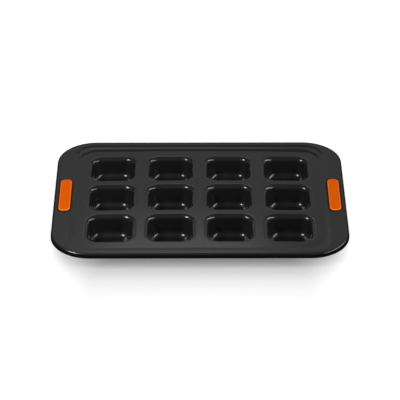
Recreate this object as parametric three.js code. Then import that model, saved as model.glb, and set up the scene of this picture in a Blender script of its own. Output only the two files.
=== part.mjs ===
// A twelve-cup brownie pan. One pressed steel sheet carries the deck, the drawn cups, two shallow steps
// round the cup field, flat handle flanges and a turned-down edge that curls round a steel wire. A silicone
// grip is seated through a slot in each handle flange.
// Millimetres, +Z up, X along the length. The cups stand on z = 0, and the pan is centred on the Z axis.
import * as THREE from 'three';

// The sheet and its cups
const SHEET = 0.8;
const CUP_COLUMNS = 4;
const CUP_ROWS = 3;
const CUP_OPENING = 71.5;
const CUP_STRIP_X = 9.2;
const CUP_STRIP_Y = 6.45;
const CUP_PITCH_X = CUP_OPENING + CUP_STRIP_X;
const CUP_PITCH_Y = CUP_OPENING + CUP_STRIP_Y;
const CUP_DEPTH = 29;
const CUP_DRAFT_DEGREES = 8.6;
const CUP_LIP_RADIUS = 6.9;
const CUP_LIP_CORNER_RADIUS = 20.6;
const CUP_FLOOR_RADIUS = 9;
const CUP_FLOOR_CORNER_RADIUS = 6.5;

// The deck's margin round the cups and the two steps that rise from it to the flange
const DECK_MARGIN_X = 11.2;
const DECK_MARGIN_Y = 13.1;
const LOWER_STEP_RISE = 1.45;
const UPPER_STEP_RISE = 1.1;
const STEP_SLOPE_DEGREES = 26;
const STEP_FOOT_RADIUS = 1.5;
const STEP_CREST_RADIUS = 2.5;
const STEP_CORNER_RADIUS = 26;
const LEDGE_X = 1;
const LEDGE_Y = 5;
const LEDGE_RISE = 0.25;

// The flange: narrow at front and back, wide enough for a grip at each end
const FLANGE_Y = 6;
const GRIP_GAP_INNER = 0.4;
const GRIP_GAP_OUTER = 3.525;

// The turned-down edge and its wire
const OUTER_CORNER_RADIUS = 53.8;
const EDGE_RADIUS = 3.6;
const SKIRT = 1.8;
const CURL_RADIUS = 2.6;
const HEM = 0.8;
const WIRE_CLEARANCE = 0.3;

// The silicone grips
const GRIP_WIDTH = 16.4;
const GRIP_LENGTH = 82.4;
const GRIP_CORNER_RADIUS = 7;
const GRIP_LAP = 2;
const GRIP_CLEARANCE = 0.3;
const GRIP_RISE = 2;
const GRIP_UNDER = 1.8;
const GRIP_EDGE_RADIUS = 1.2;

// How finely the round stretches are stepped
const CUP_CORNER_STEPS = 4;
const PAN_CORNER_STEPS = 6;
const GRIP_CORNER_STEPS = 4;
const LIP_STEPS = 4;
const FLOOR_STEPS = 3;
const STEP_BEND_STEPS = 1;
const EDGE_STEPS = 4;
const CURL_STEPS = 5;
const GRIP_EDGE_STEPS = 2;
const WIRE_SIDES = 8;

const RIGHT_ANGLE = Math.PI / 2;
const deckHeight = CUP_DEPTH + SHEET;
const ledgeHeight = deckHeight + LOWER_STEP_RISE + LEDGE_RISE;
const flangeHeight = ledgeHeight + UPPER_STEP_RISE;

// A section of the sheet is walked from one end as straight runs and bends. Each station keeps how far the
// walk has gone sideways, its height and its heading, all on the upper skin; radii are the upper skin's too.
class SheetWalk {
  constructor(height) {
    this.stations = [{ travel: 0, height, heading: 0 }];
  }

  get end() {
    return this.stations.at(-1);
  }

  run(length) {
    const { travel, height, heading } = this.end;
    this.stations.push({
      travel: travel + length * Math.cos(heading),
      height: height + length * Math.sin(heading),
      heading,
    });
    return this;
  }

  // A positive turn bends the sheet upwards and a negative one downwards.
  bend(radius, turn, steps) {
    const start = this.end;
    const side = Math.sign(turn);
    const centreTravel = start.travel - side * radius * Math.sin(start.heading);
    const centreHeight = start.height + side * radius * Math.cos(start.heading);
    for (let step = 1; step <= steps; step += 1) {
      const heading = start.heading + (turn * step) / steps;
      this.stations.push({
        travel: centreTravel + side * radius * Math.sin(heading),
        height: centreHeight - side * radius * Math.cos(heading),
        heading,
      });
    }
    return this;
  }

  upperSkin() {
    return this.stations.map(({ travel, height }) => ({ travel, height }));
  }

  // The lower skin lies one sheet thickness below, square to the heading.
  lowerSkin() {
    return this.stations.map(({ travel, height, heading }) => ({
      travel: travel + SHEET * Math.sin(heading),
      height: height - SHEET * Math.cos(heading),
    }));
  }
}

// A rounded rectangle in plan, given by its middle, half sides and corner radius.
function outline(x, y, halfX, halfY, radius, cornerSteps) {
  return { x, y, halfX, halfY, radius, cornerSteps };
}

function grown(base, amount) {
  return {
    ...base,
    halfX: base.halfX + amount,
    halfY: base.halfY + amount,
    radius: base.radius + amount,
  };
}

// The outline's points, anticlockwise seen from above.
function outlinePoints({ x, y, halfX, halfY, radius, cornerSteps }) {
  const points = [];
  for (let corner = 0; corner < 4; corner += 1) {
    const signX = corner === 0 || corner === 3 ? 1 : -1;
    const signY = corner < 2 ? 1 : -1;
    for (let step = 0; step <= cornerSteps; step += 1) {
      const angle = (corner + step / cornerSteps) * RIGHT_ANGLE;
      points.push(
        new THREE.Vector2(
          x + signX * (halfX - radius) + radius * Math.cos(angle),
          y + signY * (halfY - radius) + radius * Math.sin(angle),
        ),
      );
    }
  }
  return points;
}

// Collects rings of shared vertices and joins them into one closed surface.
class Skin {
  constructor() {
    this.positions = [];
    this.indices = [];
  }

  ring(plan, height) {
    const points = outlinePoints(plan);
    const first = this.positions.length / 3;
    points.forEach((point) => this.positions.push(point.x, point.y, height));
    return { points, ids: points.map((_, index) => first + index) };
  }

  // Quads between two rings with the same number of points. The face looks away from the middle when the
  // second ring lies above the first.
  band(first, second) {
    const count = first.ids.length;
    for (let index = 0; index < count; index += 1) {
      const next = (index + 1) % count;
      const [a, b] = [first.ids[index], first.ids[next]];
      const [c, d] = [second.ids[index], second.ids[next]];
      this.indices.push(a, b, d, a, d, c);
    }
  }

  bands(rings) {
    rings.slice(1).forEach((ring, index) => this.band(rings[index], ring));
  }

  // A flat face inside a ring, with holes, that looks up or down.
  plate(border, holes, looksUp) {
    const reversed = holes.map(({ points, ids }) => ({
      points: [...points].reverse(),
      ids: [...ids].reverse(),
    }));
    const ids = [...border.ids, ...reversed.flatMap((hole) => hole.ids)];
    const faces = THREE.ShapeUtils.triangulateShape(
      border.points,
      reversed.map((hole) => hole.points),
    );
    faces.forEach(([a, b, c]) => {
      this.indices.push(ids[a], ...(looksUp ? [ids[b], ids[c]] : [ids[c], ids[b]]));
    });
  }

  geometry() {
    const geometry = new THREE.BufferGeometry();
    geometry.setAttribute('position', new THREE.Float32BufferAttribute(this.positions, 3));
    geometry.setIndex(this.indices);
    geometry.computeVertexNormals();
    return geometry;
  }
}

const rad = THREE.MathUtils.degToRad;

// The cup's section, walked inwards from the edge of its opening to the flat of its floor.
function cupWalk() {
  const steepness = RIGHT_ANGLE - rad(CUP_DRAFT_DEGREES);
  const bendDrop = (CUP_LIP_RADIUS + CUP_FLOOR_RADIUS) * (1 - Math.cos(steepness));
  const wall = (CUP_DEPTH - bendDrop) / Math.sin(steepness);
  return new SheetWalk(deckHeight)
    .bend(CUP_LIP_RADIUS, -steepness, LIP_STEPS)
    .run(wall)
    .bend(CUP_FLOOR_RADIUS, steepness, FLOOR_STEPS);
}

// One step of the border, walked outwards and up.
function stepWalk(height, rise) {
  const slope = rad(STEP_SLOPE_DEGREES);
  const bendRise = (STEP_FOOT_RADIUS + STEP_CREST_RADIUS) * (1 - Math.cos(slope));
  const riser = (rise - bendRise) / Math.sin(slope);
  return new SheetWalk(height)
    .bend(STEP_FOOT_RADIUS, slope, STEP_BEND_STEPS)
    .run(riser)
    .bend(STEP_CREST_RADIUS, -slope, STEP_BEND_STEPS);
}

// The turned-down edge: over, down the skirt, round the wire and up into the hem.
function edgeWalk() {
  return new SheetWalk(flangeHeight)
    .bend(EDGE_RADIUS, -RIGHT_ANGLE, EDGE_STEPS)
    .run(SKIRT)
    .bend(CURL_RADIUS, -2 * RIGHT_ANGLE, CURL_STEPS)
    .run(HEM);
}

const cup = cupWalk();
const lowerStep = stepWalk(deckHeight, LOWER_STEP_RISE);
const upperStep = stepWalk(ledgeHeight, UPPER_STEP_RISE);
const edge = edgeWalk();

// Outlines of the pan in plan, worked outwards from the cup field
const fieldX = ((CUP_COLUMNS - 1) * CUP_PITCH_X + CUP_OPENING) / 2;
const fieldY = ((CUP_ROWS - 1) * CUP_PITCH_Y + CUP_OPENING) / 2;
const deckOutline = outline(
  0,
  0,
  fieldX + DECK_MARGIN_X,
  fieldY + DECK_MARGIN_Y,
  STEP_CORNER_RADIUS,
  PAN_CORNER_STEPS,
);
const ledgeOutline = outline(
  0,
  0,
  deckOutline.halfX + lowerStep.end.travel + LEDGE_X,
  deckOutline.halfY + lowerStep.end.travel + LEDGE_Y,
  STEP_CORNER_RADIUS,
  PAN_CORNER_STEPS,
);
const crestX = ledgeOutline.halfX + upperStep.end.travel;
const crestY = ledgeOutline.halfY + upperStep.end.travel;
const flangeOutline = outline(
  0,
  0,
  crestX + GRIP_GAP_INNER + GRIP_WIDTH + GRIP_GAP_OUTER,
  crestY + FLANGE_Y,
  OUTER_CORNER_RADIUS - EDGE_RADIUS,
  PAN_CORNER_STEPS,
);
const gripX = crestX + GRIP_GAP_INNER + GRIP_WIDTH / 2;

function gripOutline(side) {
  return outline(
    side * gripX,
    0,
    GRIP_WIDTH / 2,
    GRIP_LENGTH / 2,
    GRIP_CORNER_RADIUS,
    GRIP_CORNER_STEPS,
  );
}

function slotOutline(side) {
  return grown(gripOutline(side), -GRIP_LAP);
}

function cupMiddles() {
  const middles = [];
  for (let row = 0; row < CUP_ROWS; row += 1) {
    for (let column = 0; column < CUP_COLUMNS; column += 1) {
      middles.push({
        x: (column - (CUP_COLUMNS - 1) / 2) * CUP_PITCH_X,
        y: ((CUP_ROWS - 1) / 2 - row) * CUP_PITCH_Y,
      });
    }
  }
  return middles;
}

// A cup's outline at one station of its section. The lip's corners are rounded from the opening inwards and
// the floor's from the flat outwards; the wall joins the two.
function cupOutline({ x, y }, travel, station) {
  const floorCorner = CUP_FLOOR_CORNER_RADIUS + cup.end.travel;
  const corner = station <= LIP_STEPS ? CUP_LIP_CORNER_RADIUS : floorCorner;
  return grown(outline(x, y, CUP_OPENING / 2, CUP_OPENING / 2, corner, CUP_CORNER_STEPS), -travel);
}

const SIDES = [-1, 1];

// One skin of the sheet from the cup floors out to the hem. The upper skin looks up and the lower one down;
// the function gives back the rings along which the two are sewn together.
function sheetSkin(skin, side) {
  const upper = side === 'upper';
  const section = (walk) => (upper ? walk.upperSkin() : walk.lowerSkin());
  const sew = (rings) => skin.bands(upper ? [...rings].reverse() : rings);
  const swept = (walk, base) =>
    section(walk).map(({ travel, height }) => skin.ring(grown(base, travel), height));

  const cups = cupMiddles().map((middle) =>
    section(cup).map(({ travel, height }, station) =>
      skin.ring(cupOutline(middle, travel, station), height),
    ),
  );
  cups.forEach((rings) => {
    skin.bands(upper ? rings : [...rings].reverse());
    skin.plate(rings.at(-1), [], upper);
  });

  const lower = swept(lowerStep, deckOutline);
  skin.plate(lower[0], cups.map((rings) => rings[0]), upper);
  const raised = swept(upperStep, ledgeOutline);
  sew([...lower, ...raised]);

  const turned = swept(edge, flangeOutline);
  const flange = flangeHeight - (upper ? 0 : SHEET);
  const slots = SIDES.map((end) => skin.ring(slotOutline(end), flange));
  skin.plate(turned[0], [raised.at(-1), ...slots], upper);
  sew(turned);
  return { slots, hem: turned.at(-1) };
}

function panShell() {
  const skin = new Skin();
  const top = sheetSkin(skin, 'upper');
  const under = sheetSkin(skin, 'lower');
  skin.band(under.hem, top.hem);
  top.slots.forEach((slot, index) => skin.band(slot, under.slots[index]));
  return skin.geometry();
}

// The wire fills the curl but for a clearance, and closes on itself round the whole pan.
function rimWire() {
  const radius = CURL_RADIUS - SHEET - WIRE_CLEARANCE;
  const centreTravel = EDGE_RADIUS - CURL_RADIUS;
  const centreHeight = flangeHeight - EDGE_RADIUS - SKIRT;
  const skin = new Skin();
  const rings = [];
  for (let side = 0; side < WIRE_SIDES; side += 1) {
    const angle = (2 * Math.PI * side) / WIRE_SIDES;
    const plan = grown(flangeOutline, centreTravel + radius * Math.cos(angle));
    rings.push(skin.ring(plan, centreHeight + radius * Math.sin(angle)));
  }
  skin.bands([...rings, rings[0]]);
  return skin.geometry();
}

// A grip is a pad above the flange and a pad below it, joined by a waist through the slot.
function grip(side) {
  const padTop = flangeHeight + GRIP_RISE;
  const padSeat = flangeHeight + GRIP_CLEARANCE;
  const underSeat = flangeHeight - SHEET - GRIP_CLEARANCE;
  const underFoot = flangeHeight - SHEET - GRIP_UNDER;
  const waist = GRIP_LAP + GRIP_CLEARANCE;
  const rounding = (centreHeight, fromAngle) => {
    const stations = [];
    for (let step = 0; step <= GRIP_EDGE_STEPS; step += 1) {
      const angle = fromAngle + (RIGHT_ANGLE * step) / GRIP_EDGE_STEPS;
      stations.push({
        inset: GRIP_EDGE_RADIUS * (1 - Math.cos(angle)),
        height: centreHeight + GRIP_EDGE_RADIUS * Math.sin(angle),
      });
    }
    return stations;
  };
  const stations = [
    ...rounding(underFoot + GRIP_EDGE_RADIUS, -RIGHT_ANGLE),
    { inset: 0, height: underSeat },
    { inset: waist, height: underSeat },
    { inset: waist, height: padSeat },
    { inset: 0, height: padSeat },
    ...rounding(padTop - GRIP_EDGE_RADIUS, 0),
  ];
  const skin = new Skin();
  const rings = stations.map(({ inset, height }) => skin.ring(grown(gripOutline(side), -inset), height));
  skin.bands(rings);
  skin.plate(rings[0], [], false);
  skin.plate(rings.at(-1), [], true);
  return skin.geometry();
}

function coating() {
  return new THREE.MeshStandardMaterial({ color: 0x232324, roughness: 0.42, metalness: 0.1 });
}

function silicone() {
  return new THREE.MeshStandardMaterial({ color: 0xd75500, roughness: 0.55, metalness: 0 });
}

function wireSteel() {
  return new THREE.MeshStandardMaterial({ color: 0x9a9c9e, roughness: 0.35, metalness: 1 });
}

function named(name, geometry, material) {
  const mesh = new THREE.Mesh(geometry, material);
  mesh.name = name;
  return mesh;
}

const pan = new THREE.Group();
pan.name = 'brownie_pan';
pan.add(named('pan_shell', panShell(), coating()));
pan.add(named('rim_wire', rimWire(), wireSteel()));
pan.add(named('left_grip', grip(-1), silicone()));
pan.add(named('right_grip', grip(1), silicone()));

export default pan;
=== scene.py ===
# %% [markdown]
# # A twelve-cup brownie pan
# The pan is one pressed steel sheet with a dark, satin, non-stick coating, an edge curled round a wire,
# and an orange silicone grip through each handle flange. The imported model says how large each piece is
# and where it sits, so it is loaded first and stays as it is. What follows lays a finer skin over each
# piece.

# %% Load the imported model
import math

import bmesh
import bpy
import numpy as np
from mathutils import Matrix, Vector
from mathutils.geometry import delaunay_2d_cdt


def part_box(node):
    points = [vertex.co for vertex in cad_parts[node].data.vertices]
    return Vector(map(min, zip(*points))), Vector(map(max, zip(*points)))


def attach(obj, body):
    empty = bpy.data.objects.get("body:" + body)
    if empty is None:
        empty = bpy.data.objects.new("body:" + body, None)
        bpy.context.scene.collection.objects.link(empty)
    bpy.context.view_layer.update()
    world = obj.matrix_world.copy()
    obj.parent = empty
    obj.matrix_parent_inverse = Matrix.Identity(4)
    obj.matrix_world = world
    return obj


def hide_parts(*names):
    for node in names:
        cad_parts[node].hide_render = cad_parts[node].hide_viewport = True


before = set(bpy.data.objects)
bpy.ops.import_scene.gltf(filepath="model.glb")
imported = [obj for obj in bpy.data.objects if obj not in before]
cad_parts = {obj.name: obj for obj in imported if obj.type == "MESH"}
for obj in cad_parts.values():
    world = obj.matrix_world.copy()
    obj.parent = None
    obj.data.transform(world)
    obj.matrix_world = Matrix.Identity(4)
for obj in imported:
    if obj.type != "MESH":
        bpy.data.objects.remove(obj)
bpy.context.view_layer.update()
MM = 0.001
print("nodes:", sorted(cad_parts))

# %% [markdown]
# ## Measures
# The outer size, the flange's height and the grips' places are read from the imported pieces, so the skin
# can't drift from them. The bends and the spacing of the cups are the pressing's own sizes. The block of
# cups sits in a sunk deck; a lower step, a narrow ledge and an upper step lead from the deck up to the
# flange.

# %% Read the places and name the sizes
shell_low, shell_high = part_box("pan_shell")
grip_low, grip_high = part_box("right_grip")

SHEET = 0.8 * MM
CUP_COLUMNS = 4
CUP_ROWS = 3
CUP_OPENING = 71.5 * MM
CUP_PITCH = np.array([80.7, 77.95]) * MM
CUP_DEPTH = 29 * MM
CUP_STEEPNESS = math.radians(81.4)
CUP_LIP_RADIUS = 6.9 * MM
CUP_LIP_CORNER_RADIUS = 20.6 * MM
CUP_FLOOR_RADIUS = 9 * MM
CUP_FLOOR_CORNER_RADIUS = 6.5 * MM
DECK_MARGIN = np.array([11.2, 13.1]) * MM
LOWER_STEP_RISE = 1.45 * MM
UPPER_STEP_RISE = 1.1 * MM
STEP_SLOPE = math.radians(26)
STEP_FOOT_RADIUS = 1.5 * MM
STEP_CREST_RADIUS = 2.5 * MM
STEP_CORNER_RADIUS = 26 * MM
LEDGE = np.array([1.0, 5.0]) * MM
OUTER_CORNER_RADIUS = 53.8 * MM
EDGE_RADIUS = 3.6 * MM
SKIRT = 1.8 * MM
CURL_RADIUS = 2.6 * MM
HEM = 0.8 * MM
WIRE_CLEARANCE = 0.3 * MM
GRIP_CORNER_RADIUS = 7 * MM
GRIP_LAP = 2 * MM

flange_height = shell_high.z
deck_height = shell_low.z + SHEET + CUP_DEPTH
ledge_height = flange_height - UPPER_STEP_RISE
outer_half = np.array([shell_high.x, shell_high.y])
flange_half = outer_half - EDGE_RADIUS
flange_radius = OUTER_CORNER_RADIUS - EDGE_RADIUS
cup_field = (np.array([CUP_COLUMNS, CUP_ROWS]) - 1) * CUP_PITCH + CUP_OPENING
deck_half = cup_field / 2 + DECK_MARGIN
print(f"deck at {deck_height / MM:.1f} mm, flange at {flange_height / MM:.1f} mm")

# %% [markdown]
# ## The bent sheet in section
# A press bends flat sheet round the nose of a die, so every section of the pan is straight runs joined by
# round bends. It could be drawn as a curve with a bevel, but a walk along the section gives the exact
# radius of each bend, and the same walk serves the steps and the turned-down edge.

# %% Walk a section
STEP_BEND_STEPS = 4
EDGE_BEND_STEPS = 10
SKIRT_STEPS = 2
CURL_STEPS = 14


def walk_section(height, moves):
    """Stations along a bent sheet, as travel and level.

    A move is (size, turn, steps). With no turn it is a straight run of that length along the heading.
    With a turn it is a bend of that radius: travel goes on by the radius times the change in the
    heading's sine, and level by the radius times the change in its cosine, to the side that the sheet
    bends to.
    """
    travel, level, heading = np.zeros(1), np.full(1, height), 0.0
    for size, turn, steps in moves:
        share = np.linspace(0, 1, steps + 1)[1:]
        way = heading + turn * share
        side = np.sign(turn)
        if turn == 0:
            along = size * share * math.cos(heading)
            up = size * share * math.sin(heading)
        else:
            along = side * size * (np.sin(way) - math.sin(heading))
            up = side * size * (math.cos(heading) - np.cos(way))
        travel = np.append(travel, travel[-1] + along)
        level = np.append(level, level[-1] + up)
        heading = way[-1]
    return travel, level


def straight_between(rise, both_radii, angle):
    """Length of the straight run between two opposite bends that together make a known rise or drop."""
    return (rise - both_radii * (1 - math.cos(angle))) / math.sin(angle)


def step_section(height, rise):
    """One step of the border: bent up at its foot, straight, and bent level again at its crest."""
    riser = straight_between(rise, STEP_FOOT_RADIUS + STEP_CREST_RADIUS, STEP_SLOPE)
    foot = STEP_FOOT_RADIUS, STEP_SLOPE, STEP_BEND_STEPS
    crest = STEP_CREST_RADIUS, -STEP_SLOPE, STEP_BEND_STEPS
    return walk_section(height, [foot, (riser, 0, 1), crest])


lower_travel, lower_level = step_section(deck_height, LOWER_STEP_RISE)
upper_travel, upper_level = step_section(ledge_height, UPPER_STEP_RISE)
edge_travel, edge_level = walk_section(
    flange_height,
    [
        (EDGE_RADIUS, -math.pi / 2, EDGE_BEND_STEPS),
        (SKIRT, 0, SKIRT_STEPS),
        (CURL_RADIUS, -math.pi, CURL_STEPS),
        (HEM, 0, 1),
    ],
)
ledge_half = deck_half + lower_travel[-1] + LEDGE
print(f"lower step {lower_travel[-1] / MM:.2f} mm wide, upper step {upper_travel[-1] / MM:.2f} mm wide")

# %% [markdown]
# ## Rounded rectangles
# Seen from above, everything on the pan is a rectangle with round corners. Each is kept as a core
# rectangle and a direction away from it at every point: growing or shrinking the outline is then only a
# change of reach, which is how a section is carried round it.

# %% Carry a section round a rounded rectangle


def rounded_ring(core, corner_steps, side_steps):
    """Anchors on a core rectangle and unit directions away from it, anticlockwise from above.

    The outline at reach r is anchor + r * direction. At each corner the direction turns through a right
    angle; along each side it stays square to the side.
    """
    corners = np.array([[1, 1], [-1, 1], [-1, -1], [1, -1]]) * core
    angles = np.arange(4)[:, None] * math.pi / 2 + np.linspace(0, math.pi / 2, corner_steps + 1)
    share = np.linspace(0, 1, side_steps + 1)[1:-1, None]
    arcs = np.repeat(corners[:, None], corner_steps + 1, axis=1)
    sides = corners[:, None] + (np.roll(corners, -1, axis=0) - corners)[:, None] * share
    anchor = np.concatenate([arcs, sides], axis=1).reshape(-1, 2)
    square = np.repeat(angles[:, -1:], side_steps - 1, axis=1)
    angle = np.concatenate([angles, square], axis=1).ravel()
    return anchor, np.stack([np.cos(angle), np.sin(angle)], axis=1)


def carried(ring, reach, level):
    """A grid of points: row i is the ring's outline at reach[i], laid at height level[i]."""
    anchor, direction = ring
    plan = anchor + np.asarray(reach)[:, None, None] * direction
    height = np.repeat(np.asarray(level)[:, None], len(anchor), axis=1)
    return np.concatenate([plan, height[..., None]], axis=2)


def ring_quads(rows, columns):
    """Quads of a grid whose rows are closed rings. They look up where the rows go inwards."""
    here = np.arange((rows - 1) * columns).reshape(rows - 1, columns)
    beside = np.roll(here, -1, axis=1)
    return np.stack([here, beside, beside + columns, here + columns], axis=-1).reshape(-1, 4)


# %% [markdown]
# ## Flat plates
# The deck and the flange are flat faces with holes in them. One face with many corners would do for a
# flat sheet, but this deck is slightly domed, so it needs points inside as well. They are strewn on a
# grid and joined with the outlines by a Delaunay triangulation, which avoids slivers that would shade
# badly.

# %% Fill a plate


def inside_loops(points, loops):
    """Which points lie inside an odd number of loops: in the first one and in none of the holes.

    A line from each point along +x crosses an edge where the edge's ends lie on both sides of it and the
    crossing is further along; the crossings are counted.
    """
    x, y = points[:, 0, None], points[:, 1, None]
    count = np.zeros(len(points), int)
    for loop in loops:
        (ax, ay), (bx, by) = loop.T, np.roll(loop, -1, axis=0).T
        rise = np.where(by == ay, 1, by - ay)
        count += (((ay > y) != (by > y)) & (ax + (y - ay) * (bx - ax) / rise > x)).sum(axis=1)
    return count % 2 == 1


def gap_to_loops(points, loops):
    """How far each point lies from the nearest edge of any loop."""
    starts = np.concatenate(loops)
    ways = np.concatenate([np.roll(loop, -1, axis=0) - loop for loop in loops])
    from_start = points[:, None] - starts
    share = np.clip((from_start * ways).sum(axis=2) / (ways**2).sum(axis=1), 0, 1)
    return np.linalg.norm(from_start - share[..., None] * ways, axis=2).min(axis=1)


def flat_plate(level, loops, spacing):
    """A flat face inside the first loop with the other loops as holes, looking up.

    Points are strewn over it on a grid, no nearer to a loop than half the spacing, and joined with the
    loops into triangles that are as little stretched as can be.
    """
    rim = np.concatenate(loops)
    lines = [np.arange(low, high, spacing) for low, high in zip(rim.min(axis=0), rim.max(axis=0))]
    grid = np.stack(np.meshgrid(*lines), axis=-1).reshape(-1, 2)
    grid = grid[inside_loops(grid, loops)]
    plan = np.concatenate([rim, grid[gap_to_loops(grid, loops) > spacing / 2]])
    starts = np.cumsum([0] + [len(loop) for loop in loops])
    rings = [np.arange(first, last) for first, last in zip(starts, starts[1:])]
    edges = np.concatenate([np.column_stack([ring, np.roll(ring, -1)]) for ring in rings])
    joined = delaunay_2d_cdt([Vector(point) for point in plan], edges.tolist(), [], 1, 1e-7)
    plan = np.array(joined[0])
    corners = np.array(joined[2])
    corners = corners[inside_loops(plan[corners].mean(axis=1), loops)]
    return np.column_stack([plan, np.full(len(plan), level)]), corners


# %% [markdown]
# ## From patches to a piece
# A pressed sheet has no seams, so the patches of one piece go into one mesh, and the points where two
# patches meet are merged. Finishes later read values kept on the points, such as how glossy the coating
# is there.

# %% Gather patches


class Patchwork:
    """Patches of surface gathered into one mesh. Points that two patches share are merged."""

    MERGE = 0.002 * MM

    def __init__(self):
        self.points = []
        self.faces = []
        self.count = 0

    def add(self, points, *face_lists):
        points = points.reshape(-1, 3)
        self.points.append(points)
        for faces in face_lists:
            self.faces.extend((np.asarray(faces) + self.count).tolist())
        self.count += len(points)

    def piece(self, name):
        mesh = bpy.data.meshes.new(name)
        mesh.from_pydata(np.concatenate(self.points).tolist(), [], self.faces)
        joined = bmesh.new()
        joined.from_mesh(mesh)
        bmesh.ops.remove_doubles(joined, verts=joined.verts, dist=self.MERGE)
        joined.to_mesh(mesh)
        joined.free()
        mesh.shade_smooth()
        made = bpy.data.objects.new(name, mesh)
        bpy.context.scene.collection.objects.link(made)
        print(f"{name}: {len(mesh.vertices)} points, {len(mesh.polygons)} faces")
        return made


def keep_on_points(piece, name, share):
    """Keep a number on each point of a piece; share works the numbers out from the points' places."""
    places = np.empty(3 * len(piece.data.vertices))
    piece.data.vertices.foreach_get("co", places)
    kept = piece.data.attributes.new(name, "FLOAT", "POINT")
    kept.data.foreach_set("value", share(places.reshape(-1, 3)))


# %% [markdown]
# ## The deck's dome
# Drawing twelve cups stretches the sheet, and the deck between them doesn't stay quite flat: it stands a
# little higher in the middle than along its edge. It is far too little to see from the side, but a satin
# deck shows it in what it mirrors, so the dome is added to the height of everything inside the flange.

# %% Lift points by the dome
DOME_MIDDLE = 0.85 * MM
DOME_FALL = 1.6 * MM


def domed(points):
    """Points of the sheet with the deck's dome added to their height.

    The dome falls with the squares of x and y. It is full on the deck, fades down the cups to nothing at
    their floors, and up the steps to nothing at the flange.
    """
    x, y, z = np.moveaxis(points, -1, 0)
    dome = DOME_MIDDLE - DOME_FALL * ((x / deck_half[0]) ** 2 + (y / deck_half[1]) ** 2)
    down_cup = (z - SHEET) / CUP_DEPTH
    up_steps = (flange_height - z) / (flange_height - deck_height)
    share = np.clip(np.minimum(down_cup, up_steps), 0, 1)
    return points + (dome * share)[..., None] * [0, 0, 1]


print(f"dome of {DOME_MIDDLE / MM:.2f} mm in the middle of the deck")


# %% [markdown]
# ## Cups and the deck between them
# Each cup is drawn down from the deck: a round lip, a steep wall and a generous floor bend. Twelve
# separate cups joined by booleans would leave seams, so each cup is one grid that starts on a rectangular
# cell of deck and runs inwards over the lip and down to the floor. Neighbouring cells share their edges
# exactly. The floor's corners are tighter than the opening's, so the wall leans more in the corners, and
# every column of the grid works out its own lean.

# %% Shape one cup and its cell
LIP_STEPS = 14
FLOOR_STEPS = 12
CUP_CORNER_STEPS = 18
CUP_SIDE_STEPS = 4
GUARD = 0.5 * MM
WALL_SHARES = np.array([0.33, 0.67])[:, None, None]
FLOOR_SHARES = np.array([0.96, 0.7, 0.4])[:, None, None]

both_bends = CUP_LIP_RADIUS + CUP_FLOOR_RADIUS
side_wall = straight_between(CUP_DEPTH, both_bends, CUP_STEEPNESS)
side_travel = both_bends * math.sin(CUP_STEEPNESS) + side_wall * math.cos(CUP_STEEPNESS)
floor_half = CUP_OPENING / 2 - side_travel


def cup_outline(half, radius):
    """Anchors, directions and points of a square with round corners."""
    anchor, direction = rounded_ring(np.full(2, half - radius), CUP_CORNER_STEPS, CUP_SIDE_STEPS)
    return anchor, direction, anchor + radius * direction


def cup_section(travel):
    """Travel and drop from the deck to the cup's floor: a row for each station, a column for each travel.

    A lip bend, a straight wall and a floor bend go down by the cup's depth and inwards by the travel.
    With bends for the sum of the radii and sink for the depth less bends, the wall's length squared is
    travel squared plus sink squared less bends squared, and its steepness is the angle of (travel, sink)
    plus that of (wall, bends).
    """
    sink = CUP_DEPTH - both_bends
    wall = np.sqrt(travel**2 + sink**2 - both_bends**2)
    steepness = np.arctan2(sink, travel) + np.arctan2(both_bends, wall)
    lip_turn = np.linspace(0, 1, LIP_STEPS + 1)[:, None] * steepness
    floor_turn = np.linspace(1, 0, FLOOR_STEPS + 1)[:, None] * steepness
    lip = CUP_LIP_RADIUS * np.stack([np.sin(lip_turn), 1 - np.cos(lip_turn)], axis=-1)
    floor_bend = -CUP_FLOOR_RADIUS * np.stack([np.sin(floor_turn), 1 - np.cos(floor_turn)], axis=-1)
    floor_bend += np.stack([travel, np.full_like(travel, CUP_DEPTH)], axis=-1)
    return np.concatenate([lip, lip[-1] + (floor_bend[0] - lip[-1]) * WALL_SHARES, floor_bend])


def cup_cell():
    """Rows from the cell's edge inwards.

    The cell's edge takes each direction and stretches it until its larger part is 1, which makes the
    ring's round corners square. From the opening, each column's section runs straight towards its own
    point on the floor's outline, and the floor shrinks evenly to its middle.
    """
    anchor, direction, opening = cup_outline(CUP_OPENING / 2, CUP_LIP_CORNER_RADIUS)
    flat = cup_outline(floor_half, CUP_FLOOR_CORNER_RADIUS)[2]
    squared = direction / np.abs(direction).max(axis=1, keepdims=True)
    cell_edge = anchor + (CUP_PITCH / 2 - CUP_OPENING / 2 + CUP_LIP_CORNER_RADIUS) * squared
    guard = opening + GUARD * direction
    deck_rows = np.stack([cell_edge, (cell_edge + guard) / 2, guard])
    deck_rows = np.pad(deck_rows, ((0, 0), (0, 0), (0, 1)), constant_values=deck_height)
    travel = np.linalg.norm(flat - opening, axis=1)
    section = cup_section(travel)
    side_plan = opening + section[..., :1] * ((flat - opening) / travel[:, None])
    side_rows = np.concatenate([side_plan, deck_height - section[..., 1:]], axis=-1)
    floor_rows = side_rows[-1] * [1, 1, 0] * FLOOR_SHARES + [0, 0, SHEET]
    return np.concatenate([deck_rows, side_rows, floor_rows])


cell = cup_cell()
cell_rows, cell_columns, _ = cell.shape
print(f"cup of {cell_rows} rings and {cell_columns} columns, floor {2 * floor_half / MM:.1f} mm wide")

# %% Lay out twelve cups


def floor_fan(rows, columns):
    """Triangles from the last ring to the point in the middle of the floor."""
    last = np.arange((rows - 1) * columns, rows * columns)
    return np.column_stack([last, np.roll(last, -1), np.full(columns, rows * columns)])


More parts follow.
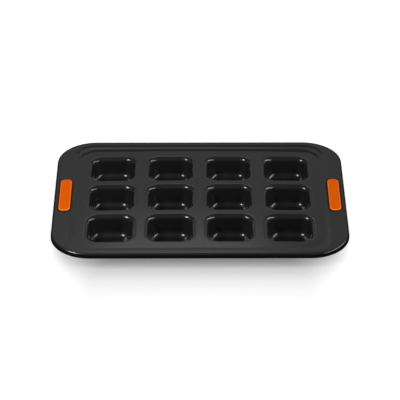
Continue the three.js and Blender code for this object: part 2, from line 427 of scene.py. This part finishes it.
cell_points = np.concatenate([cell.reshape(-1, 3), [[0, 0, SHEET]]])
column_x = (np.arange(CUP_COLUMNS) - (CUP_COLUMNS - 1) / 2) * CUP_PITCH[0]
row_y = (np.arange(CUP_ROWS) - (CUP_ROWS - 1) / 2) * CUP_PITCH[1]
cup_middles = np.stack(np.meshgrid(column_x, row_y, [0.0]), axis=-1).reshape(-1, 3)

shell = Patchwork()
cup_faces = ring_quads(cell_rows, cell_columns), floor_fan(cell_rows, cell_columns)
for middle in cup_middles:
    shell.add(domed(cell_points + middle), *cup_faces)
print(f"{len(cup_middles)} cups, {shell.count} points")

# %% [markdown]
# ## The border: two steps, the flange and the curled edge
# Round the cup field the sheet rises in two shallow steps, which stiffen it, then runs flat to the flange
# and turns down and round the wire. These bends run the whole way round, so they are sections carried
# round rounded rectangles; the flat faces between them are filled plates, with a slot for each grip.

# %% Lay the steps and the turned-down edge
BORDER_CORNER_STEPS = 24
BORDER_SIDE_STEPS = 12


def border_ring(half, radius):
    return rounded_ring(half - radius, BORDER_CORNER_STEPS, BORDER_SIDE_STEPS)


flange_ring = border_ring(flange_half, flange_radius)
lower_reach = STEP_CORNER_RADIUS + np.append(-GUARD, lower_travel)
upper_reach = STEP_CORNER_RADIUS + np.append(upper_travel, upper_travel[-1] + GUARD / 2)
edge_reach = flange_radius + np.append(-GUARD, edge_travel)
lower_ring = border_ring(deck_half, STEP_CORNER_RADIUS)
upper_ring = border_ring(ledge_half, STEP_CORNER_RADIUS)
steps = np.concatenate([
    carried(lower_ring, lower_reach, np.append(deck_height, lower_level)),
    carried(upper_ring, upper_reach, np.append(upper_level, flange_height)),
])[::-1]
turned_edge = carried(flange_ring, edge_reach, np.append(flange_height, edge_level))[::-1]
shell.add(domed(steps), ring_quads(*steps.shape[:2]))
shell.add(turned_edge, ring_quads(*turned_edge.shape[:2]))
print(f"steps of {len(steps)} rings, edge of {len(turned_edge)} rings")

# %% Fill the deck and the flange
DECK_SPACING = 4 * MM
FLANGE_SPACING = 6 * MM
GRIP_CORNER_STEPS = 10
GRIP_SIDE_STEPS = 12


def block_edge():
    """The edge of the whole block of cells, anticlockwise, with every point that the cells have there."""
    edge = cell[0, :, :2]
    along_x = np.sort(edge[np.isclose(edge[:, 1], CUP_PITCH[1] / 2), 0])
    along_y = np.sort(edge[np.isclose(edge[:, 0], CUP_PITCH[0] / 2), 1])
    x = np.unique(np.round(column_x[:, None] + along_x, 9))
    y = np.unique(np.round(row_y[:, None] + along_y, 9))
    front = np.column_stack([x, np.full(len(x), y[0])])[:-1]
    right = np.column_stack([np.full(len(y), x[-1]), y])[:-1]
    return np.concatenate([front, right, -front, -right])


grip_half = np.array([grip_high.x - grip_low.x, grip_high.y - grip_low.y]) / 2
grip_middle = (grip_high.x + grip_low.x) / 2
grip_ring = rounded_ring(grip_half - GRIP_CORNER_RADIUS, GRIP_CORNER_STEPS, GRIP_SIDE_STEPS)
slot = carried(grip_ring, [GRIP_CORNER_RADIUS - GRIP_LAP], [0])[0, :, :2]
slots = [slot + [side * grip_middle, 0] for side in (-1, 1)]
deck, deck_faces = flat_plate(deck_height, [steps[-1, :, :2], block_edge()], DECK_SPACING)
shell.add(domed(deck), deck_faces)
shell.add(*flat_plate(flange_height, [turned_edge[-1, :, :2], steps[0, :, :2], *slots], FLANGE_SPACING))
print(f"deck and flange laid, {shell.count} points in all")

# %% [markdown]
# ## One sheet of steel
# The patches become one surface, and a Solidify modifier gives it the sheet's thickness downwards. The
# cut ends at the slots and in the curl stay sharp. Where the edge turns down, the coating loses its gloss
# and is painted near black, a painted dark outline round the pan, least along the front; each point
# keeps how glossy it still is.

# %% Join the sheet and give it its thickness
# Painted shade: these set where the turned-down edge loses its gloss and turns near black, a painted dark
# outline that reaches less far round at the front.
GLAZE_END = 0.45
GLAZE_FRONT = 0.45
GLAZE_FADE = 0.15


# Painted shade: where this share is 0 the edge gets a near-black, matt colour.
def glazed_share(points):
    """How glossy the coating is at each point: 1 on top and 0 outside.

    The share falls over the turned-down edge, by how far a point lies beyond the flange's outline as a
    share of the bend's radius, and it lasts longer on the front edge than on the sides and the back.
    """
    beside = np.maximum(np.abs(points[:, :2]) - (flange_half - flange_radius), 0)
    reach = np.hypot(*beside.T)
    towards_back = np.sign(points[:, 1]) * beside[:, 1] / np.maximum(reach, MM)
    end = GLAZE_END - GLAZE_FRONT * towards_back
    return np.clip((end - (reach - flange_radius) / EDGE_RADIUS) / GLAZE_FADE, 0, 1)


def sharpen_cut_ends(mesh):
    """Mark each edge that only one face uses as sharp."""
    edge_of_corner = np.empty(len(mesh.loops), np.int32)
    mesh.loops.foreach_get("edge_index", edge_of_corner)
    sharp = mesh.attributes.new("sharp_edge", "BOOLEAN", "EDGE")
    sharp.data.foreach_set("value", np.bincount(edge_of_corner, minlength=len(mesh.edges)) == 1)


pan = shell.piece("pan_skin")
sharpen_cut_ends(pan.data)
keep_on_points(pan, "glaze", glazed_share)
wall = pan.modifiers.new("sheet", "SOLIDIFY")
wall.thickness = SHEET
wall.offset = -1
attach(pan, "root")
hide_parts("pan_shell")

# %% [markdown]
# ## The wire in the curl
# A drawn steel wire lies inside the curl and keeps the edge stiff. Only its underside can be seen, from
# below. It is a circle carried round the same rounded rectangle as the edge.

# %% Carry the wire round
WIRE_SIDES = 20
wire_radius = CURL_RADIUS - SHEET - WIRE_CLEARANCE
wire_angle = np.linspace(0, 2 * math.pi, WIRE_SIDES + 1)
wire_reach = flange_radius + EDGE_RADIUS - CURL_RADIUS + wire_radius * np.cos(wire_angle)
wire_level = flange_height - EDGE_RADIUS - SKIRT + wire_radius * np.sin(wire_angle)
wire_grid = carried(flange_ring, wire_reach, wire_level)
wire_work = Patchwork()
wire_work.add(wire_grid, ring_quads(*wire_grid.shape[:2]))
wire = wire_work.piece("edge_wire")
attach(wire, "root")
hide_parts("rim_wire")

# %% [markdown]
# ## The silicone grips
# Each grip is one moulding: a soft pad above the flange, a thinner one below it, and a waist through the
# slot. A bevelled box would have hard, even edges, so the pads are sections with a round shoulder and a
# slight crown, carried round a rounded rectangle from the middle of the underside to the middle of the
# top.

# %% Mould the grips
PAD_SEAT = 0.08 * MM
PAD_SIDE = 0.55 * MM
SHOULDER = 2.6 * MM
PAD_CROWN = 0.15 * MM
WAIST_CLEARANCE = 0.2 * MM
FOOT_INSETS = np.array([0.35, 0.1]) * MM
FOOT_RISES = np.array([0.0, 0.12]) * MM
SHOULDER_STATIONS = 9
CROWN_STATIONS = 6


def pad_section(rise):
    """Reach and height above the seat, from the pad's side over the shoulder to its middle.

    The shoulder is a quarter of an ellipse. From there the crown rises to the middle by a parabola.
    """
    turn = np.linspace(0, math.pi / 2, SHOULDER_STATIONS)
    shoulder_reach = GRIP_CORNER_RADIUS - SHOULDER * (1 - np.cos(turn))
    shoulder_rise = PAD_SIDE + (rise - PAD_CROWN - PAD_SIDE) * np.sin(turn)
    share = np.linspace(1, 0, CROWN_STATIONS)[1:]
    crown_reach = shoulder_reach[-1] * share
    crown_rise = rise - PAD_CROWN * share**2
    reach = np.concatenate([GRIP_CORNER_RADIUS - FOOT_INSETS, shoulder_reach, crown_reach])
    return reach, np.concatenate([FOOT_RISES, shoulder_rise, crown_rise])


def grip_piece(name, side):
    """Both pads' sections with the waist between them, closed by a flat face below and above."""
    over_reach, over_rise = pad_section(grip_high.z - flange_height - PAD_SEAT)
    under_reach, under_rise = pad_section(flange_height - SHEET - grip_low.z - PAD_SEAT)
    waist = np.full(2, GRIP_CORNER_RADIUS - GRIP_LAP - WAIST_CLEARANCE)
    seats = np.array([flange_height - SHEET - PAD_SEAT, flange_height + PAD_SEAT])
    reach = np.concatenate([under_reach[::-1], waist, over_reach])
    level = np.concatenate([seats[0] - under_rise[::-1], seats, seats[1] + over_rise])
    grid = carried(grip_ring, reach, level) + [side * grip_middle, 0, 0]
    rows, columns, _ = grid.shape
    below = np.arange(columns)[None, ::-1]
    above = np.arange((rows - 1) * columns, rows * columns)[None]
    work = Patchwork()
    work.add(grid, ring_quads(rows, columns), below, above)
    return work.piece(name)


def shoulder_share(points):
    """How far out on the shoulder each point lies: 1 on the pad's outline, 0 where the crown begins."""
    beside = np.abs(np.abs(points[:, :2]) - [grip_middle, 0]) - (grip_half - GRIP_CORNER_RADIUS)
    inset = GRIP_CORNER_RADIUS - np.hypot(*np.maximum(beside, 0).T)
    return np.clip(1 - inset / SHOULDER, 0, 1)


grips = {"left_grip": grip_piece("grip_left", -1), "right_grip": grip_piece("grip_right", 1)}
for node, grip in grips.items():
    keep_on_points(grip, "shoulder", shoulder_share)
    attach(grip, "root")
    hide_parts(node)

# %% [markdown]
# ## Writing finishes as expressions
# Shader nodes are quicker to read as sums than as a web of links. This class holds one socket; adding or
# multiplying it makes the Math node, and its node method makes any other node.

# %% Wrap a socket


class Flow:
    """A socket in a node tree, on which sums, differences and products make Math nodes."""

    def __init__(self, tree, socket=None):
        self.tree = tree
        self.socket = socket

    def node(self, kind, settings, inputs, output=0):
        """Make a node: its settings first, then the value or link of each input; gives back one output."""
        made = self.tree.nodes.new(kind)
        for name, value in settings.items():
            setattr(made, name, value)
        for name, value in inputs.items():
            if isinstance(value, Flow):
                self.tree.links.new(value.socket, made.inputs[name])
            else:
                made.inputs[name].default_value = value
        return Flow(self.tree, made.outputs[output])

    def math(self, operation, first, second):
        return self.node("ShaderNodeMath", {"operation": operation}, {0: first, 1: second})

    def __add__(self, other):
        return self.math("ADD", self, other)

    __radd__ = __add__

    def __mul__(self, other):
        return self.math("MULTIPLY", self, other)

    __rmul__ = __mul__

    def __sub__(self, other):
        return self.math("SUBTRACT", self, other)

    def __rsub__(self, other):
        return self.math("SUBTRACT", other, self)


def new_finish(name):
    """An empty material and a flow on its node tree."""
    material = bpy.data.materials.new(name)
    material.use_nodes = True
    material.node_tree.nodes.clear()
    return material, Flow(material.node_tree)


def close_finish(material, shader):
    """Join a shader to the material's output."""
    output = material.node_tree.nodes.new("ShaderNodeOutputMaterial")
    material.node_tree.links.new(shader.socket, output.inputs["Surface"])
    print(f"{material.name}: {len(material.node_tree.nodes)} nodes")


# %% [markdown]
# Four helpers recur in the finishes: soft noise of a given grain, a colour on the way between two others,
# a number that the piece keeps on its points, and the share that a number has gone of the way between two
# others.

# %% Noise, mixed colours, kept numbers and ramps


def noise(flow, place, grain, detail=2.0):
    """Soft noise from 0 to 1, with features about as wide as grain, in metres."""
    inputs = {"Vector": place, "Scale": 1 / grain, "Detail": detail}
    return flow.node("ShaderNodeTexNoise", {}, inputs, "Fac")


def between(flow, share, first, second):
    """A colour on the way from the first to the second; each is a colour or a flow."""
    return flow.node("ShaderNodeMix", {"data_type": "RGBA"}, {"Factor": share, 6: first, 7: second}, 2)


def kept(flow, name):
    """The number that a piece keeps on its points under a name."""
    return flow.node("ShaderNodeAttribute", {"attribute_name": name}, {}, "Fac")


def ramp(flow, value, start, end):
    """0 up to the start, 1 from the end on, and straight between."""
    return flow.node("ShaderNodeMapRange", {}, {"Value": value, "From Min": start, "From Max": end})


# %% [markdown]
# ## The non-stick coating
# The coating is sprayed on and baked: fine dark flakes under a thin clear film, with the faint
# orange-peel of a sprayed finish. The flakes give a broad, dim sheen, so they are dark, rough and partly
# metal; the film gives the crisp lights in the bends, so it is the coat. A single glossy black would show
# lights without the sheen. Round each grip the sheet loses its coat and is painted red-brown: painted
# shade, tinted orange, where the grip meets the flange.

# %% Mix the coating
FLAKE_DARK = (0.0125, 0.0125, 0.0129, 1)
FLAKE_LIGHT = (0.0175, 0.0175, 0.018, 1)
# Painted shade: the near-black, matt colour of the turned-down edge, a painted dark outline.
EDGE_PAINTED_SHADE = (0.006, 0.006, 0.0062, 1)
# Painted shade: the red-brown round each grip where it meets the flange, full out to the first distance and
# gone by the second.
GRIP_SEAM_SHADE = (0.065, 0.0135, 0.002, 1)
GRIP_SEAM_SHADE_FULL = 1.2 * MM
GRIP_SEAM_SHADE_END = 2.3 * MM
COATING_CLOUD = 45 * MM
COATING_PEEL = 0.9 * MM
COATING_SPECK = 0.35 * MM


def gap_to_grips(flow, place):
    """How far a place lies outside the nearer grip's outline, seen from above.

    Both grips are folded onto one quarter of one grip. What is left beyond its core rectangle, less the
    corner's radius, is the gap.
    """
    folds = [
        ("ABSOLUTE", (0, 0, 0)),
        ("SUBTRACT", (grip_middle, 0, 0)),
        ("ABSOLUTE", (0, 0, 0)),
        ("SUBTRACT", (*(grip_half - GRIP_CORNER_RADIUS), 1)),
        ("MAXIMUM", (0, 0, 0)),
    ]
    for operation, other in folds:
        place = flow.node("ShaderNodeVectorMath", {"operation": operation}, {0: place, 1: other})
    beyond = flow.node("ShaderNodeVectorMath", {"operation": "LENGTH"}, {0: place}, "Value")
    return beyond - GRIP_CORNER_RADIUS


def coating_finish():
    material, flow = new_finish("non_stick_coating")
    place = flow.node("ShaderNodeTexCoord", {}, {}, "Object")
    cloud = noise(flow, place, COATING_CLOUD)
    peel = noise(flow, place, COATING_PEEL, 3.0)
    speck = noise(flow, place, COATING_SPECK)
    # Painted shade: near each grip the coat goes and the colour turns red-brown; on the turned-down edge it
    # turns near black.
    clear = ramp(flow, gap_to_grips(flow, place), GRIP_SEAM_SHADE_FULL, GRIP_SEAM_SHADE_END)
    glaze = kept(flow, "glaze") * clear
    flakes = between(flow, speck, FLAKE_DARK, FLAKE_LIGHT)
    matt = between(flow, clear, GRIP_SEAM_SHADE, EDGE_PAINTED_SHADE)
    bump = flow.node("ShaderNodeBump", {}, {"Strength": 0.25, "Distance": 0.02 * MM, "Height": peel})
    shader = flow.node(
        "ShaderNodeBsdfPrincipled",
        {},
        {
            "Base Color": between(flow, glaze, matt, flakes),
            "Roughness": 0.52 + 0.05 * cloud + 0.03 * peel,
            "Metallic": 0.35 * glaze,
            "Specular IOR Level": 0.0,
            "Normal": bump,
            "Coat Weight": glaze,
            "Coat Roughness": 0.2,
            "Coat IOR": 1.43,
        },
    )
    close_finish(material, shader)
    return material


pan.data.materials.append(coating_finish())

# %% [markdown]
# ## Silicone
# Moulded silicone is matt. Over each pad's shoulder the orange is painted paler, a painted sheen, and paler
# still at the front end, a painted highlight where the end faces the lamps. At the pad's very edge it is
# painted dark red-brown, painted shade on the pad's side by the flange. The pads keep how far out on the
# shoulder each point lies, which steers both changes.

# %% Mix the silicone
ORANGE_DEEP = (0.63, 0.086, 0.001, 1)
ORANGE_LIGHT = (0.69, 0.1, 0.0015, 1)
# Painted sheen: the paler orange over each pad's shoulder.
ORANGE_SHOULDER_SHEEN = (0.7, 0.17, 0.03, 1)
# Painted highlight: the brighter orange at the front end, which faces the lamps.
ORANGE_FRONT_HIGHLIGHT = (0.87, 0.32, 0.045, 1)
# Painted shade: dark red-brown at the pad's very edge, by the flange.
ORANGE_SIDE_SHADE = (0.18, 0.032, 0.001, 1)
# Where the painted front highlight gives way to the painted sheen, and over how far.
FRONT_HIGHLIGHT_END = -41 * MM
FRONT_HIGHLIGHT_FADE = 9 * MM
# The shoulder shares over which the painted sheen and the painted shade come in.
SHOULDER_SHEEN_RAMP = 0.1, 0.5
SIDE_SHADE_RAMP = 0.6, 0.95
SILICONE_CLOUD = 12 * MM
SILICONE_GRAIN = 0.3 * MM


def silicone_finish():
    material, flow = new_finish("orange_silicone")
    place = flow.node("ShaderNodeTexCoord", {}, {}, "Object")
    cloud = noise(flow, place, SILICONE_CLOUD)
    grain = noise(flow, place, SILICONE_GRAIN, 3.0)
    body = between(flow, cloud, ORANGE_DEEP, ORANGE_LIGHT)
    depth = flow.node("ShaderNodeSeparateXYZ", {}, {0: place}, "Y")
    # Painted highlight and sheen: bright orange at the front end, paler orange elsewhere, laid over the
    # shoulder.
    border = between(flow, ramp(flow, depth, FRONT_HIGHLIGHT_END, FRONT_HIGHLIGHT_END + FRONT_HIGHLIGHT_FADE), ORANGE_FRONT_HIGHLIGHT, ORANGE_SHOULDER_SHEEN)
    shoulder = kept(flow, "shoulder")
    with_painted_highlights = between(flow, ramp(flow, shoulder, *SHOULDER_SHEEN_RAMP), body, border)
    bump = flow.node("ShaderNodeBump", {}, {"Strength": 0.3, "Distance": 0.02 * MM, "Height": grain})
    shader = flow.node(
        "ShaderNodeBsdfPrincipled",
        {},
        {
            # Painted shade: dark red-brown at the pad's very edge.
            "Base Color": between(flow, ramp(flow, shoulder, *SIDE_SHADE_RAMP), with_painted_highlights, ORANGE_SIDE_SHADE),
            "Roughness": 0.44 + 0.08 * grain + 0.06 * cloud,
            "Specular IOR Level": 0.01,
            "Normal": bump,
        },
    )
    close_finish(material, shader)
    return material


silicone = silicone_finish()
for grip in grips.values():
    grip.data.materials.append(silicone)

# %% [markdown]
# ## Drawn steel
# The wire is bare drawn steel, brushed lengthways by the die.

# %% Mix the steel
STEEL_DARK = (0.42, 0.42, 0.43, 1)
STEEL_LIGHT = (0.56, 0.56, 0.57, 1)
STEEL_CLOUD = 20 * MM
STEEL_GRAIN = 0.6 * MM


def steel_finish():
    material, flow = new_finish("drawn_steel")
    place = flow.node("ShaderNodeTexCoord", {}, {}, "Object")
    grain = noise(flow, place, STEEL_GRAIN, 3.0)
    cloud = noise(flow, place, STEEL_CLOUD)
    shader = flow.node(
        "ShaderNodeBsdfPrincipled",
        {},
        {
            "Base Color": between(flow, cloud, STEEL_DARK, STEEL_LIGHT),
            "Metallic": 1.0,
            "Roughness": 0.28 + 0.14 * grain,
        },
    )
    close_finish(material, shader)
    return material


wire.data.materials.append(steel_finish())

# %% [markdown]
# ## The floor
# The pan stands on plain white. A white floor lit to just under white looks grey at its edges, so the
# floor adds some of its own light for what sees it straight or in a mirror, more of it further out. The
# glow is weakest round a point in front of the pan, which makes it a painted shadow: it deepens the pan's
# shadow in front and whitens the floor beside the pan, where lamp shadows would fall. The rest is
# diffuse, so the pan's shadow stays.

# %% Lay the floor
FLOOR_SIZE = 4.0
FLOOR_WHITE = (0.9, 0.9, 0.9, 1)
# Painted shadow: the floor's glow is this weak near a point in front of the pan and this strong further
# out.
PAINTED_SHADOW_GLOW = (0.107, 0.107, 0.107, 1)
FAR_GLOW = (0.55, 0.55, 0.55, 1)
PAINTED_SHADOW_MIDDLE = (0, -0.2, 0)
PAINTED_SHADOW_FADE_START = 0.15
PAINTED_SHADOW_FADE_END = 0.235


def floor_finish():
    material, flow = new_finish("white_floor")
    kinds = ("Camera", "Glossy", "Transmission")
    rays = [flow.node("ShaderNodeLightPath", {}, {}, f"Is {kind} Ray") for kind in kinds]
    place = flow.node("ShaderNodeTexCoord", {}, {}, "Object")
    away = flow.node("ShaderNodeVectorMath", {"operation": "DISTANCE"}, {0: place, 1: PAINTED_SHADOW_MIDDLE}, "Value")
    # Painted shadow: the glow grows with the distance from that point, between the two distances.
    colour = between(flow, ramp(flow, away, PAINTED_SHADOW_FADE_START, PAINTED_SHADOW_FADE_END), PAINTED_SHADOW_GLOW, FAR_GLOW)
    matt = flow.node("ShaderNodeBsdfDiffuse", {}, {"Color": FLOOR_WHITE})
    glow = flow.node("ShaderNodeEmission", {}, {"Color": colour})
    glowing = flow.node("ShaderNodeAddShader", {}, {0: matt, 1: glow})
    seen = rays[0] + rays[1] + rays[2]
    close_finish(material, flow.node("ShaderNodeMixShader", {}, {0: seen, 1: matt, 2: glowing}))
    return material


floor_mesh = bpy.data.meshes.new("floor")
floor_corners = np.array([[-1, -1, 0], [1, -1, 0], [1, 1, 0], [-1, 1, 0]]) * FLOOR_SIZE
floor_mesh.from_pydata(floor_corners.tolist(), [], [[0, 1, 2, 3]])
floor_mesh.materials.append(floor_finish())
floor = bpy.data.objects.new("floor", floor_mesh)
bpy.context.scene.collection.objects.link(floor)
print(f"floor {2 * FLOOR_SIZE:.0f} m across")

# %% [markdown]
# ## Studio light
# A dark satin pan shows the room more than its own colour. A wide, dim panel behind it is what the deck
# mirrors, with a brighter one above for the front of the deck. A small lamp on the left makes the round
# lights in the cups' corners, and a long strip on the right makes the drawn-out ones. Both are small and
# near, and would throw hard shadows, so light linking keeps them to the pan. Two wide lamps light only
# the floor: the one in front shines in under the edge, and the one above lets the shadow end softly.

# %% Hang the lamps


def softbox(name, place, aim, width, height, radiance, lights=()):
    """A rectangular lamp at a place, turned to face a point, as bright all over as radiance says.

    Where lights names objects, it lights only those.
    """
    lamp = bpy.data.lights.new(name, "AREA")
    lamp.shape = "RECTANGLE"
    lamp.size = width
    lamp.size_y = height
    lamp.energy = radiance * math.pi * width * height
    holder = bpy.data.objects.new(name, lamp)
    holder.location = place
    holder.rotation_euler = (Vector(aim) - Vector(place)).to_track_quat("-Z", "Y").to_euler()
    bpy.context.scene.collection.objects.link(holder)
    if lights:
        lit = bpy.data.collections.new(f"lit_by_{name}")
        for thing in lights:
            lit.objects.link(thing)
        holder.light_linking.receiver_collection = lit
    print(f"{name}: {width} by {height} m, {lamp.energy:.1f} W")


WORLD_STRENGTH = 0.12
pan_middle = (0, 0, deck_height)
pieces = [pan, wire, *grips.values()]
softbox("panel_low", (0, 1.2, 0.56), (0, 0, 0.56), 3.0, 1.12, 0.187)
softbox("panel_high", (-0.05, 1.2, 1.215), (-0.05, 0, 1.215), 0.4, 0.57, 1.4)
softbox("lamp_left", (-0.614, -0.325, 0.683), pan_middle, 0.24, 0.24, 36, pieces)
softbox("strip_right", (0.95, -0.08, 0.73), pan_middle, 1.4, 0.23, 10.3, pieces)
softbox("floor_front", (0, -1.04, 0.8), (0, -0.148, 0), 2.0, 0.9, 3.2, [floor])
softbox("floor_top", (0, 0.35, 1.5), (0, 0, 0), 2.4, 2.4, 0.59, [floor])

world = bpy.data.worlds.new("studio")
world.use_nodes = True
world.node_tree.nodes["Background"].inputs["Color"].default_value = (1, 1, 1, 1)
world.node_tree.nodes["Background"].inputs["Strength"].default_value = WORLD_STRENGTH
bpy.context.scene.world = world

# %% [markdown]
# ## Camera
# The photograph looks down at the pan from in front with a long lens, a hair to one side. The lens is
# given as the number of pixels that one metre covers at one metre, and the middle of the lens as a place
# in a picture of 400 by 400 pixels, which is how a camera is fitted to a photograph.

# %% Place the camera
ELEVATION = math.radians(31.412)
AZIMUTH = math.radians(0.243)
ROLL = math.radians(0.026)
DISTANCE = 3.0283
LENS_PIXELS = 2202.4
PRINCIPAL_X = 199.779
PRINCIPAL_Y = 197.233
IMAGE_PIXELS = 400
SENSOR = 36.0

forward = Vector((
    math.sin(AZIMUTH) * math.cos(ELEVATION),
    math.cos(AZIMUTH) * math.cos(ELEVATION),
    -math.sin(ELEVATION),
))
right = Vector((math.cos(AZIMUTH), -math.sin(AZIMUTH), 0))
up = right.cross(forward)
rolled_right = math.cos(ROLL) * right + math.sin(ROLL) * up
rolled_up = math.cos(ROLL) * up - math.sin(ROLL) * right
camera_data = bpy.data.cameras.new("camera")
camera_data.sensor_width = SENSOR
camera_data.lens = LENS_PIXELS * SENSOR / IMAGE_PIXELS
camera_data.shift_x = (IMAGE_PIXELS / 2 - PRINCIPAL_X) / IMAGE_PIXELS
camera_data.shift_y = (PRINCIPAL_Y - IMAGE_PIXELS / 2) / IMAGE_PIXELS
camera = bpy.data.objects.new("camera", camera_data)
turned = Matrix((rolled_right, rolled_up, -forward)).transposed().to_4x4()
camera.matrix_world = Matrix.Translation(Vector(pan_middle) - DISTANCE * forward) @ turned
bpy.context.scene.collection.objects.link(camera)
bpy.context.scene.camera = camera
bpy.context.scene.view_settings.view_transform = "Standard"
print(f"lens {camera_data.lens:.1f} mm at {DISTANCE} m")
